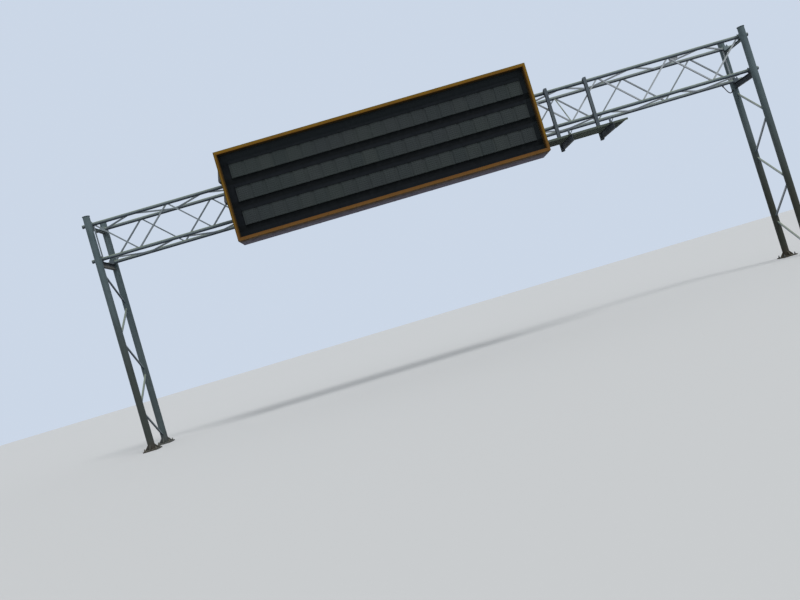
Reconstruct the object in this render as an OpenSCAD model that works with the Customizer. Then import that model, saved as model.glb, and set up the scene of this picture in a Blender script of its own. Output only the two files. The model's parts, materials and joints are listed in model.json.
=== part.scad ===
// Overhead sign gantry: a lattice truss of four chords on two post towers.
// A walk-in display housing and a short walkway hang on its near side.
// Millimetres, +Z up. X runs along the truss and -Y faces the traffic.

/* [Truss] */
// Length of one truss panel along X
panel_length = 1220; // [1150:10:1300]
// Distance between the near and the far chords, centre to centre
truss_depth = 1100; // [1040:10:1200]
// Distance between the bottom and the top chords, centre to centre
truss_height = 1170; // [1120:10:1250]
// Height of the bottom chord centres above the road
truss_level = 6330; // [6100:10:6600]
// Outside diameter of the chord pipes
chord_diameter = 114; // [102:1:124]
// Wall of the chord pipes
chord_wall = 8; // [6:1:10]
// Side of the square diagonals
web_bar = 45; // [40:1:50]
// Side of the thin braces across the truss
brace_bar = 30; // [24:1:34]
// Side of the uprights at the truss's ends
upright_bar = 36; // [30:1:40]
// How far the chords run past the post centres
chord_overrun = 245; // [200:5:320]

/* [Towers] */
// Outside diameter of the posts
post_diameter = 219; // [200:1:240]
// Wall of the posts
post_wall = 10; // [8:1:14]
// How far the posts stand above the top chord centres
post_rise = 250; // [200:10:320]
// Distance from the last panel point to the post centres
post_offset = 100; // [96:1:120]
// Side of the square diagonals between the posts
tower_bar = 50; // [44:1:56]
// Distance between two diagonals' middles where they meet a post
tower_gap = 240; // [180:5:300]
// Distance from one diagonal's upper end to the next one's
tower_pitch = 1156; // [1120:4:1180]
// Distance from the lower beam down to the first diagonal's upper end
brace_drop = 220; // [180:5:260]
// Depth of the beams under the bottom chords
lower_beam_depth = 180; // [160:5:210]
// Depth of the beams under the top chords
upper_beam_depth = 66; // [54:2:90]
// Flange width of both beams
beam_width = 110; // [100:5:130]

/* [Base plates] */
// Side of the square base plates
base_side = 480; // [460:10:540]
// Thickness of the base plates
base_thickness = 38; // [30:2:50]
// Spacing of the anchor holes, both ways
anchor_spacing = 370; // [360:5:380]
// Diameter of the anchor holes
anchor_hole = 36; // [30:1:42]

/* [Sign] */
// Width of the display housing
sign_width = 10070; // [9900:10:10300]
// Height of the display housing
sign_height = 2860; // [2780:10:2960]
// Depth of the display housing, border and all
sign_depth = 1079; // [1000:1:1150]
// How far the housing's middle lies left of the truss's middle
sign_shift = 1440; // [1300:10:1550]
// How far the housing reaches below the bottom chord centres
sign_drop = 889; // [850:1:930]
// Thickness of the housing's sheet walls
sheet = 8; // [5:1:12]
// Width of the amber border's front face
border_width = 95; // [80:1:110]
// Depth of the amber border, from its front to the dark panel
border_depth = 250; // [180:5:280]
// How far the vent hoods on the left end stand out
hood_reach = 120; // [90:5:150]
// Width of the vent hoods
hood_width = 500; // [400:10:520]

/* [Display] */
// Modules in one row
module_count = 21; // [19:1:21]
// Distance from one module to the next
module_pitch = 451; // [430:1:453]
// Gap between two modules
module_gap = 92; // [80:1:110]
// Height of one row of modules
row_height = 450; // [420:5:500]
// Distance from one row to the next
row_pitch = 757; // [730:1:780]
// How far the rows' middle lies right of the housing's middle
row_shift = 35; // [0:5:50]
// Height of the rail over each row
rail_height = 90; // [60:5:110]

/* [Hangers and walkway] */
// Distance from one hanger to the next
hanger_spacing = 1343; // [1300:1:1380]
// Distance of the last hanger from the housing's right end
hanger_reach = 2041; // [1950:1:2100]
// Flange width of the hangers
hanger_width = 102; // [90:1:120]
// Depth of the hangers' section
hanger_depth = 106; // [90:1:120]
// Depth of the arms that carry the walkway
arm_depth = 188; // [160:2:200]
// How far the arms reach past the housing's face
arm_overreach = 230; // [180:5:280]
// Distance of the walkway's free end from the housing's right end
walkway_length = 2535; // [2400:5:2700]
// Gap between the hangers and the walkway's inner edge
deck_gap = 94; // [60:1:140]
// How far the walkway's outer edge lies behind the housing's face
deck_setback = 20; // [0:1:60]
// Height of the walkway's edge channels
channel_height = 65; // [55:1:80]
// How far the outer channel runs past the walkway's free end
channel_overrun = 75; // [40:5:100]
// Height of the rail posts over the arms
rail_post_height = 200; // [150:5:240]

/* [Hidden] */
$fn = 48;
panel_count = 18;
saddle_gap = 13;
plate = 12;

half_truss = panel_count * panel_length / 2;
tower_x = half_truss + post_offset;
chord_end = tower_x + chord_overrun;
chord_y = truss_depth / 2;
chord_radius = chord_diameter / 2;
post_radius = post_diameter / 2;
post_y = chord_y + chord_radius + saddle_gap + post_radius;
top_level = truss_level + truss_height;
post_top = top_level + post_rise;

// Beams and saddles
lower_saddle = 10;
upper_saddle = 22;
saddle_length = 150;
saddle_cover = 75;
saddle_side = 80;
lower_beam_top = truss_level - chord_radius - lower_saddle;
upper_beam_top = top_level - chord_radius - upper_saddle;
brace_start = lower_beam_top - lower_beam_depth - brace_drop;

// Hangers stand off the near chords by one clamp block
clamp_block = 8;
hanger_back = -(chord_y + chord_radius + clamp_block);
hanger_front = hanger_back - hanger_depth;

// Sign box
sign_middle = -sign_shift;
sign_left = sign_middle - sign_width / 2;
sign_right = sign_middle + sign_width / 2;
sign_bottom = truss_level - sign_drop;
sign_top = sign_bottom + sign_height;
sign_back = hanger_front;
sign_front = sign_back - sign_depth;
panel_front = sign_front + border_depth;
hood_height = 560;
hood_level = sign_bottom + 1320;
hood_pitch = 670;

// Access door on the housing's right end, over the walkway
door_width = 660;
door_height = 1850;
door_sill = 40;

// Hangers, the first ones past the housing's right end
hanger_bottom = sign_bottom + 19;
hanger_top = top_level + 110;
end_margin = 300;
hanger_count = floor((hanger_reach + sign_width - end_margin) / hanger_spacing) + 1;
open_hangers = floor((hanger_reach - end_margin) / hanger_spacing) + 1;

// Display rows
tray_depth = 40;
module_depth = 12;
tray_front = panel_front - tray_depth;
row_middle = sign_bottom + sign_height / 2 + 11;
row_width = module_count * module_pitch;
row_left = sign_middle + row_shift - row_width / 2;

// Walkway
arm_drop = 42;
arm_bottom = hanger_bottom + arm_drop;
arm_top = arm_bottom + arm_depth;
arm_tip = sign_front - arm_overreach;
deck_thickness = 40;
deck_front = sign_front + deck_setback;
deck_back = hanger_front - deck_gap;
deck_width = deck_back - deck_front;

// The outer box's middle lies on the frame's origin
depth_shift = (-arm_tip - (post_y + base_side / 2)) / 2;

// The place of one panel point along X, counted from the left end
function point_x(n) = (n - panel_count / 2) * panel_length;

// The place of one hanger along X, counted from the right end
function hanger_x(n) = sign_right + hanger_reach - n * hanger_spacing;

// The height of one row's middle, with the middle row at zero
function row_level(n) = row_middle + n * row_pitch;

// Everything is drawn round the truss's middle and then shifted in depth
module in_frame() {
    translate([0, depth_shift, 0]) children();
}

// A square bar from one point to another
module bar(start, finish, side) {
    run = finish - start;
    length = norm(run);
    translate(start)
        rotate([0, acos(run[2] / length), atan2(run[1], run[0])])
            translate([-side / 2, -side / 2, 0])
                cube([side, side, length]);
}

// The solid outline of one chord, as a cutter or a pipe's outside
module chord_solid(side, level) {
    translate([-chord_end, side * chord_y, level])
        rotate([0, 90, 0])
            cylinder(h = 2 * chord_end, d = chord_diameter);
}

module all_chords() {
    for (side = [-1, 1])
        for (level = [truss_level, top_level])
            chord_solid(side, level);
}

// The solid outline of one post
module post_solid(end, side) {
    translate([end * tower_x, side * post_y, base_thickness])
        cylinder(h = post_top - base_thickness, d = post_diameter);
}

module both_posts(end) {
    post_solid(end, -1);
    post_solid(end, 1);
}

// A pipe post, open at both ends under its cap and over its base plate
module post(end, side) {
    in_frame()
        difference() {
            post_solid(end, side);
            translate([end * tower_x, side * post_y, base_thickness - 1])
                cylinder(h = post_top, d = post_diameter - 2 * post_wall);
        }
}

// A base plate with four anchor holes and four upright stiffeners
module base_plate(end, side) {
    stiffener_height = 150;
    stiffener_reach = base_side / 2 - post_radius - 15;
    in_frame()
        translate([end * tower_x, side * post_y, 0]) {
            difference() {
                translate([-base_side / 2, -base_side / 2, 0])
                    cube([base_side, base_side, base_thickness]);
                for (x = [-1, 1])
                    for (y = [-1, 1])
                        translate([x * anchor_spacing / 2, y * anchor_spacing / 2, -1])
                            cylinder(h = base_thickness + 2, d = anchor_hole);
            }
            difference() {
                for (turn = [0, 90, 180, 270])
                    rotate([0, 0, turn])
                        translate([post_radius - 20, plate / 2, base_thickness])
                            rotate([90, 0, 0])
                                linear_extrude(height = plate)
                                    polygon([
                                        [0, 0],
                                        [stiffener_reach + 20, 0],
                                        [stiffener_reach + 20, 30],
                                        [30, stiffener_height],
                                        [0, stiffener_height]
                                    ]);
                cylinder(h = post_top, d = post_diameter);
            }
        }
}

// Caps on both posts of one tower, a little wider than the posts
module post_caps(end) {
    in_frame()
        for (side = [-1, 1])
            translate([end * tower_x, side * post_y, post_top])
                cylinder(h = plate, d = post_diameter + 24);
}

// Zigzag of diagonals down one tower, coped to its posts
module tower_bracing(end, first) {
    reach = post_y - post_radius;
    lowest = base_thickness + 220;
    in_frame()
        difference() {
            for (n = [0 : 4]) {
                side = n % 2 == 0 ? first : -first;
                high = brace_start - n * tower_pitch;
                low = max(lowest, high - tower_pitch + tower_gap);
                slope = (high - low) / (2 * reach);
                bar([end * tower_x, side * post_y, high + slope * post_radius],
                    [end * tower_x, -side * post_y, low - slope * post_radius],
                    tower_bar);
            }
            both_posts(end);
        }
}

// An I beam from post to post, coped to both
module seat_beam(end, top, depth) {
    flange = 14;
    web = 12;
    in_frame()
        difference() {
            translate([end * tower_x, 0, top - depth]) {
                translate([-beam_width / 2, -post_y, 0])
                    cube([beam_width, 2 * post_y, flange]);
                translate([-web / 2, -post_y, 0])
                    cube([web, 2 * post_y, depth]);
                translate([-beam_width / 2, -post_y, depth - flange])
                    cube([beam_width, 2 * post_y, flange]);
            }
            both_posts(end);
        }
}

// A block round one chord, between its beam and its post
module chord_saddle(end, side, level, under) {
    inner = chord_y - saddle_side;
    outer = post_y - post_radius + 30;
    low = level - chord_radius - under;
    translate([
        end * tower_x - saddle_length / 2,
        side > 0 ? inner : -outer,
        low
    ])
        cube([saddle_length, outer - inner, level + saddle_cover - low]);
}

// The four saddles of one tower, bored for the chords
module chord_saddles(end) {
    in_frame()
        difference() {
            for (side = [-1, 1]) {
                chord_saddle(end, side, truss_level, lower_saddle);
                chord_saddle(end, side, top_level, upper_saddle);
            }
            all_chords();
            both_posts(end);
        }
}

// A chord pipe
module chord(side, level) {
    in_frame()
        difference() {
            chord_solid(side, level);
            translate([-chord_end - 1, side * chord_y, level])
                rotate([0, 90, 0])
                    cylinder(h = 2 * chord_end + 2, d = chord_diameter - 2 * chord_wall);
        }
}

module chord_end_caps() {
    color("darkgray")
        in_frame()
            for (end = [-1, 1])
                for (side = [-1, 1])
                    for (level = [truss_level, top_level])
                        translate([
                            end > 0 ? chord_end : -chord_end - plate,
                            side * chord_y,
                            level
                        ])
                            rotate([0, 90, 0])
                                cylinder(h = plate, d = chord_diameter);
}

// Diagonals of one upright side; the first one starts high or low
module web_diagonals(side, high_first) {
    for (n = [0 : panel_count - 1]) {
        high = (n % 2 == 0) == high_first;
        bar([point_x(n), side * chord_y, high ? top_level : truss_level],
            [point_x(n + 1), side * chord_y, high ? truss_level : top_level],
            web_bar);
    }
}

// An upright at one end of a side, between the saddles and the first diagonal
module end_upright(end, side) {
    x = end * half_truss;
    bar([x, side * chord_y, truss_level], [x, side * chord_y, top_level], upright_bar);
}

module near_truss_web() {
    gusset_length = 310;
    gusset_height = 140;
    gusset_shift = 175;
    color("gray")
        in_frame()
            difference() {
                union() {
                    web_diagonals(-1, true);
                    end_upright(-1, -1);
                    translate([
                        point_x(16) + gusset_shift - gusset_length / 2,
                        -chord_y - plate / 2,
                        top_level - gusset_height
                    ])
                        cube([gusset_length, plate, gusset_height]);
                }
                all_chords();
            }
}

module far_truss_web() {
    color("gray")
        in_frame()
            difference() {
                union() {
                    web_diagonals(1, false);
                    end_upright(1, 1);
                }
                all_chords();
            }
}

// Zigzag between the near and the far chords at one level
module laterals(level, first) {
    in_frame()
        difference() {
            for (n = [0 : panel_count - 1]) {
                side = n % 2 == 0 ? first : -first;
                bar([point_x(n), side * chord_y, level],
                    [point_x(n + 1), -side * chord_y, level],
                    web_bar);
            }
            all_chords();
        }
}

// Braces from the far top chord to the near bottom chord, behind the sign
module cross_braces() {
    first_brace = 5;
    last_brace = 13;
    color("dimgray")
        in_frame()
            difference() {
                for (n = [first_brace : 2 : last_brace])
                    bar([point_x(n), chord_y, top_level],
                        [point_x(n), -chord_y, truss_level],
                        brace_bar);
                all_chords();
            }
}

// One level sheet of the housing
module housing_sheet(bottom) {
    in_frame()
        translate([sign_left, panel_front, bottom])
            cube([sign_width, sign_back - panel_front, sheet]);
}

module housing_end(left) {
    in_frame()
        translate([left, panel_front + sheet, sign_bottom + sheet])
            cube([sheet, sign_back - panel_front - 2 * sheet, sign_height - 2 * sheet]);
}

// A closed door leaf with a raised rim, three hinges and a lever
module access_door() {
    leaf = 6;
    rim = 30;
    rim_height = 10;
    hinge = 24;
    hinge_length = 110;
    lever_length = 130;
    middle = (panel_front + sign_back) / 2;
    sill = arm_top + deck_thickness + door_sill;
    color("darkgray")
        in_frame()
            translate([sign_right, middle - door_width / 2, sill]) {
                difference() {
                    cube([leaf + rim_height, door_width, door_height]);
                    translate([leaf, rim, rim])
                        cube([rim_height + 1, door_width - 2 * rim, door_height - 2 * rim]);
                }
                for (n = [0 : 2])
                    translate([
                        hinge / 2,
                        door_width + hinge / 2 - 4,
                        rim + n * (door_height - 2 * rim - hinge_length) / 2
                    ])
                        cylinder(h = hinge_length, d = hinge);
                translate([leaf, rim + 30, door_height / 2])
                    rotate([0, 90, 0])
                        cylinder(h = 45, d = 32);
                translate([leaf + 33, rim + 20, door_height / 2 - 10])
                    cube([12, lever_length, 20]);
            }
}

// One sloping hood of folded sheet, open at its bottom
module vent_hood(level) {
    thickness = 3;
    lip = 60;
    reach = hood_reach;
    inner_height = hood_height - thickness * hood_height / reach;
    middle = (panel_front + sign_back) / 2 - 110;
    translate([sign_left, middle + hood_width / 2, level])
        rotate([90, 0, 0])
            difference() {
                linear_extrude(height = hood_width)
                    polygon([
                        [0, 0],
                        [0, hood_height],
                        [-reach, lip],
                        [-reach, 0]
                    ]);
                translate([0, 0, thickness])
                    linear_extrude(height = hood_width - 2 * thickness)
                        polygon([
                            [1, -1],
                            [1, inner_height],
                            [thickness - reach, lip - thickness],
                            [thickness - reach, -1]
                        ]);
            }
}

module vent_hoods() {
    color("gray")
        in_frame()
            for (n = [0, 1])
                vent_hood(hood_level + n * hood_pitch);
}

module housing_back() {
    color("gray")
        in_frame()
            translate([sign_left, sign_back - sheet, sign_bottom + sheet])
                cube([sign_width, sheet, sign_height - 2 * sheet]);
}

module face_panel() {
    color([0.07, 0.1, 0.11])
        in_frame()
            translate([sign_left, panel_front, sign_bottom + sheet])
                cube([sign_width, sheet, sign_height - 2 * sheet]);
}

// A block of the border's outline, smaller all round by one margin
module border_block(margin, start, depth) {
    translate([sign_left + margin, start, sign_bottom + margin])
        cube([sign_width - 2 * margin, depth, sign_height - 2 * margin]);
}

// A picture frame round the face, folded from sheet and hollow at its back
module face_border() {
    color([0.62, 0.4, 0.1])
        in_frame()
            difference() {
                border_block(0, sign_front, border_depth);
                border_block(border_width, sign_front - 1, border_depth + 2);
                difference() {
                    border_block(sheet, sign_front + sheet, border_depth);
                    border_block(border_width - sheet, sign_front, border_depth + 2 * sheet);
                }
            }
}

// A tray with its row of square modules
module display_row(n) {
    first = row_left + module_gap / 2;
    low = row_level(n) - row_height / 2;
    in_frame() {
        translate([row_left, tray_front, low])
            cube([row_width, tray_depth, row_height]);
        for (m = [0 : module_count - 1])
            translate([first + m * module_pitch, tray_front - module_depth, low])
                cube([module_pitch - module_gap, module_depth, row_height]);
    }
}

// Folded strips over the rows, each with a lip down its front
module row_rails() {
    rail_depth = 70;
    color([0.15, 0.19, 0.2])
        in_frame()
            for (n = [-1 : 1])
                translate([
                    row_left,
                    panel_front - rail_depth,
                    row_level(n) + row_height / 2
                ])
                    difference() {
                        cube([row_width, rail_depth, rail_height]);
                        translate([-1, sheet, -1])
                            cube([row_width + 2, rail_depth, rail_height - sheet + 1]);
                    }
}

// An upright I section with its flanges across the traffic
module hanger(x) {
    flange = 10;
    web = 8;
    height = hanger_top - hanger_bottom;
    translate([x, 0, hanger_bottom]) {
        translate([-hanger_width / 2, hanger_front, 0])
            cube([hanger_width, flange, height]);
        translate([-hanger_width / 2, hanger_back - flange, 0])
            cube([hanger_width, flange, height]);
        translate([-web / 2, hanger_front, 0])
            cube([web, hanger_depth, height]);
    }
}

module sign_hangers() {
    color("gray")
        in_frame()
            for (n = [open_hangers : hanger_count - 1])
                hanger(hanger_x(n));
}

module walkway_hangers() {
    color("gray")
        in_frame()
            for (n = [0 : open_hangers - 1])
                hanger(hanger_x(n));
}

module hanger_clamps() {
    clamp_length = 110;
    clamp_height = 150;
    inner = chord_y + web_bar / 2 + 5;
    color("dimgray")
        in_frame()
            difference() {
                for (n = [0 : hanger_count - 1])
                    for (level = [truss_level, top_level])
                        translate([
                            hanger_x(n) - clamp_length / 2,
                            hanger_back,
                            level - clamp_height / 2
                        ])
                            cube([clamp_length, -inner - hanger_back, clamp_height]);
                all_chords();
            }
}

// Level I beams with an end plate against their hanger
module outrigger_arms() {
    flange = 10;
    web = 8;
    end_margin = 28;
    arm_back = hanger_front - plate;
    color("gray")
        in_frame()
            for (n = [0 : open_hangers - 1])
                translate([hanger_x(n), 0, arm_bottom]) {
                    translate([-hanger_width / 2, arm_tip, 0])
                        cube([hanger_width, arm_back - arm_tip, flange]);
                    translate([-web / 2, arm_tip, 0])
                        cube([web, arm_back - arm_tip, arm_depth]);
                    translate([-hanger_width / 2, arm_tip, arm_depth - flange])
                        cube([hanger_width, arm_back - arm_tip, flange]);
                    translate([-hanger_width / 2, arm_back, -end_margin])
                        cube([hanger_width, plate, arm_depth + 2 * end_margin]);
                }
}

// Bearing bars of the deck, crossed by rods
module walkway_deck() {
    bar_thickness = 8;
    bar_gap = 86;
    inside = deck_width - 2 * plate;
    length = walkway_length - plate;
    rows = floor((length - bar_thickness) / bar_gap);
    color("darkgray")
        in_frame()
            translate([sign_right, deck_front + plate, arm_top]) {
                for (n = [0 : rows])
                    translate([n * (length - bar_thickness) / rows, 0, 0])
                        cube([bar_thickness, inside, deck_thickness]);
                for (n = [0 : 6])
                    translate([0, n * (inside - bar_thickness) / 6, 0])
                        cube([length, bar_thickness, deck_thickness - 10]);
            }
}

// Edge channels along the front and the back and across the free end
module walkway_channels() {
    color([0.5, 0.52, 0.48])
        in_frame()
            translate([sign_right, deck_front, arm_top]) {
                cube([walkway_length + channel_overrun, plate, channel_height]);
                translate([0, deck_width - plate, 0])
                    cube([walkway_length, plate, channel_height]);
                translate([walkway_length - plate, 0, 0])
                    cube([plate, deck_width, channel_height]);
            }
}

// A short post on each arm outside the walkway, with a slanting link
module rail_posts() {
    post_side = 50;
    wall = 5;
    link = 24;
    link_run = 80;
    link_top = 150;
    middle = deck_front - post_side / 2;
    color("gray")
        in_frame()
            for (n = [0 : open_hangers - 1])
                translate([hanger_x(n), middle, arm_top])
                    difference() {
                        union() {
                            translate([-post_side / 2, -post_side / 2, 0])
                                cube([post_side, post_side, rail_post_height]);
                            bar([0, 0, link], [post_side / 2 + link_run, 0, link_top], link);
                        }
                        translate([wall - post_side / 2, wall - post_side / 2, plate])
                            cube([
                                post_side - 2 * wall,
                                post_side - 2 * wall,
                                rail_post_height
                            ]);
                    }
}

// A tube with eight sides along the points of a curve in an upright plane
module swept_tube(points, slopes, diameter) {
    sides = 8;
    last = len(points) - 1;
    rings = [
        for (i = [0 : last])
            for (k = [0 : sides - 1])
                let (turn = 360 * k / sides)
                    [
                        points[i][0] - sin(slopes[i]) * cos(turn) * diameter / 2,
                        sin(turn) * diameter / 2,
                        points[i][1] + cos(slopes[i]) * cos(turn) * diameter / 2
                    ]
    ];
    walls = [
        for (i = [0 : last - 1])
            for (k = [0 : sides - 1])
                let (here = i * sides + k, beside = i * sides + (k + 1) % sides)
                    each [
                        [here, beside, here + sides],
                        [beside, beside + sides, here + sides]
                    ]
    ];
    first_cap = [for (k = [sides - 1 : -1 : 0]) k];
    last_cap = [for (k = [0 : sides - 1]) last * sides + k];
    polyhedron(rings, concat(walls, [first_cap, last_cap]));
}

// One value of a cubic curve between two ends with two pulls
function along_curve(a, b, c, d, t) =
    pow(1 - t, 3) * a + 3 * pow(1 - t, 2) * t * b + 3 * (1 - t) * t * t * c + pow(t, 3) * d;

function curve_slope(a, b, c, d, t) =
    let (way = pow(1 - t, 2) * (b - a) + 2 * (1 - t) * t * (c - b) + t * t * (d - c))
        atan2(way[1], way[0]);

// A conduit that hangs in a loop from the far bottom chord to the far right post
module chord_conduit() {
    conduit = 34;
    fitting = 46;
    fitting_length = 80;
    seat_gap = 0.3;
    fall = 58;
    rise = 40;
    first_pull = 230;
    last_pull = 150;
    steps = 12;
    start_run = 490;
    start_level = truss_level - 30;
    run = norm([start_run, post_y - chord_y]);
    heading = atan2(post_y - chord_y, start_run);
    down = [cos(fall), -sin(fall)];
    up = [cos(rise), sin(rise)];
    start = (fitting_length + seat_gap) * down;
    finish = [run - post_radius - 46, -280];
    start_handle = start + first_pull * down;
    finish_handle = finish - last_pull * up;
    points = [
        for (i = [0 : steps])
            along_curve(start, start_handle, finish_handle, finish, i / steps)
    ];
    slopes = [
        for (i = [0 : steps])
            curve_slope(start, start_handle, finish_handle, finish, i / steps)
    ];
    color("dimgray")
        in_frame()
            translate([tower_x - start_run, chord_y, start_level])
                rotate([0, 0, heading])
                    swept_tube(points, slopes, conduit);
    color("dimgray")
        in_frame()
            difference() {
                translate([tower_x - start_run, chord_y, start_level])
                    rotate([0, 0, heading]) {
                        rotate([0, 90 + fall, 0])
                            cylinder(h = fitting_length, d = fitting);
                        translate([finish[0] + seat_gap, 0, finish[1] + seat_gap])
                            rotate([0, 90 - rise, 0])
                                cylinder(h = fitting_length, d = fitting);
                    }
                all_chords();
                both_posts(1);
            }
}

color("gray") post(-1, -1);  // left_near_post
color("gray") post(-1, 1);  // left_far_post
color("gray") post(1, -1);  // right_near_post
color("gray") post(1, 1);  // right_far_post
color("gray") base_plate(-1, -1);  // left_near_base
color("gray") base_plate(-1, 1);  // left_far_base
color("gray") base_plate(1, -1);  // right_near_base
color("gray") base_plate(1, 1);  // right_far_base
color("gray") post_caps(-1);  // left_post_caps
color("gray") post_caps(1);  // right_post_caps
color("gray") tower_bracing(-1, -1);  // left_tower_bracing
color("gray") tower_bracing(1, 1);  // right_tower_bracing
color("dimgray") seat_beam(-1, lower_beam_top, lower_beam_depth);  // left_lower_beam
color("dimgray") seat_beam(-1, upper_beam_top, upper_beam_depth);  // left_upper_beam
color("dimgray") seat_beam(1, lower_beam_top, lower_beam_depth);  // right_lower_beam
color("dimgray") seat_beam(1, upper_beam_top, upper_beam_depth);  // right_upper_beam
color("olivedrab") chord_saddles(-1);  // left_chord_saddles
color("olivedrab") chord_saddles(1);  // right_chord_saddles
color("darkgray") chord(-1, top_level);  // near_top_chord
color("darkgray") chord(-1, truss_level);  // near_bottom_chord
color("darkgray") chord(1, top_level);  // far_top_chord
color("darkgray") chord(1, truss_level);  // far_bottom_chord
chord_end_caps();
near_truss_web();
far_truss_web();
color("gray") laterals(top_level, 1);  // top_laterals
color("gray") laterals(truss_level, -1);  // bottom_laterals
cross_braces();
color("gray") housing_sheet(sign_top - sheet);  // housing_roof
color("gray") housing_sheet(sign_bottom);  // housing_floor
housing_back();
color("gray") housing_end(sign_left);  // housing_left_end
color("gray") housing_end(sign_right - sheet);  // housing_right_end
access_door();
vent_hoods();
face_border();
face_panel();
color([0.18, 0.2, 0.2]) display_row(1);  // display_row_top
color([0.18, 0.2, 0.2]) display_row(0);  // display_row_middle
color([0.18, 0.2, 0.2]) display_row(-1);  // display_row_bottom
row_rails();
sign_hangers();
walkway_hangers();
hanger_clamps();
outrigger_arms();
walkway_deck();
walkway_channels();
rail_posts();
chord_conduit();
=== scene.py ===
"""Looks of the overhead sign gantry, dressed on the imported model. Metres throughout."""
import json
import math

import bpy
from mathutils import Matrix, Vector

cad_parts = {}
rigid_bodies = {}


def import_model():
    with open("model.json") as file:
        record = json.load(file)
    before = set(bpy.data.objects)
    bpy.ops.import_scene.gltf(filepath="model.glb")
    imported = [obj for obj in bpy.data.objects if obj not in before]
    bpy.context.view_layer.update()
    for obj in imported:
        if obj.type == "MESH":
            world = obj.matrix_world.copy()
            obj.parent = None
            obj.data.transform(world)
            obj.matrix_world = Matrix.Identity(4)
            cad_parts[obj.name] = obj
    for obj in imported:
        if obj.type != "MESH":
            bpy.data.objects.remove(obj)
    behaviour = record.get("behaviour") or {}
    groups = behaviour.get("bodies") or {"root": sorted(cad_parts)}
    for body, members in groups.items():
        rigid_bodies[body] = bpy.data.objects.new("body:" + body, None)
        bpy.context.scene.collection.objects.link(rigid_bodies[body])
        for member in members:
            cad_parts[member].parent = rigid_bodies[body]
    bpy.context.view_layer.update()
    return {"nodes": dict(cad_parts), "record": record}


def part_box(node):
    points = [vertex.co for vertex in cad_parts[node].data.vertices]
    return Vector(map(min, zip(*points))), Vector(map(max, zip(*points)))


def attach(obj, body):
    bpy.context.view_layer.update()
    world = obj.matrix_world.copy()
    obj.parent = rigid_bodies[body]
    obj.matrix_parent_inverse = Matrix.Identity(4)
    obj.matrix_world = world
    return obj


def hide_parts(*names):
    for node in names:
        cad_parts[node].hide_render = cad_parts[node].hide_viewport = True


# The camera stands in the lanes and leans to its right
LENS = 33.9578
SENSOR_WIDTH = 36.0
CAMERA_PLACE = (-2.903137, -24.433965, 1.655048)
CAMERA_YAW = math.radians(1.65582)
CAMERA_PITCH = math.radians(1.6125)
CAMERA_ROLL = math.radians(16.60197)

# The truss and its bars, as the model divides them
PANEL_COUNT = 18
PANEL_LENGTH = 1.22
WEB_BAR = 0.045
BRACE_BAR = 0.03
UPRIGHT_BAR = 0.036
FIRST_BRACE = 5
LAST_BRACE = 13
GUSSET_POINT = 16
GUSSET_SHIFT = 0.175

# The diagonals between the posts
TOWER_BAR = 0.05
TOWER_BAR_COUNT = 5
TOWER_PITCH = 1.156
TOWER_GAP = 0.24
TOWER_DROP = 0.22
TOWER_LOWEST = 0.258

# Plates, flanges and hole places of the model
BASE_PLATE = 0.038
ANCHOR_OFFSET = 0.185
PLATE = 0.012
BEAM_FLANGE = 0.014
BEAM_WEB = 0.012
FLANGE = 0.01
BORDER_WIDTH = 0.095
SHEET_WIDTH = 1.22
SADDLE_COVER = 0.075

# The display's modules, as the model divides its rows
MODULE_COUNT = 21
MODULE_GAP = 0.092
LENS_COLUMNS = 5
LENS_ROWS = 7
LENS_RADIUS = 0.023

# Small fasteners and welds
STUD_RADIUS = 0.011
NUT_RADIUS = 0.018
NUT_HEIGHT = 0.017
ANCHOR_RADIUS = 0.0165
ANCHOR_NUT_RADIUS = 0.029
ANCHOR_NUT_HEIGHT = 0.028
WASHER_HEIGHT = 0.005
RIVET_RADIUS = 0.008
SMALL_RIVET = 0.006
SMALL_NUT = (0.014, 0.012)
WELD_RADIUS = 0.006
WELD_SIDES = 6
BEAD_STEPS = 40
SMOOTH_ANGLE = math.radians(32)

# Directions in the shared frame
ALONG = Vector((1, 0, 0))
UP = Vector((0, 0, 1))
TO_TRAFFIC = Vector((0, -1, 0))

CORNERS = ("left_near", "left_far", "right_near", "right_far")
CHORDS = ("near_top", "near_bottom", "far_top", "far_bottom")
ROWS = ("top", "middle", "bottom")


def paint(red, green, blue):
    """A display colour from 0 to 255 as the linear colour that a shader takes."""
    linear = []
    for value in (red, green, blue):
        share = value / 255
        linear.append(share / 12.92 if share < 0.04045 else ((share + 0.055) / 1.055) ** 2.4)
    return (*linear, 1.0)


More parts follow.
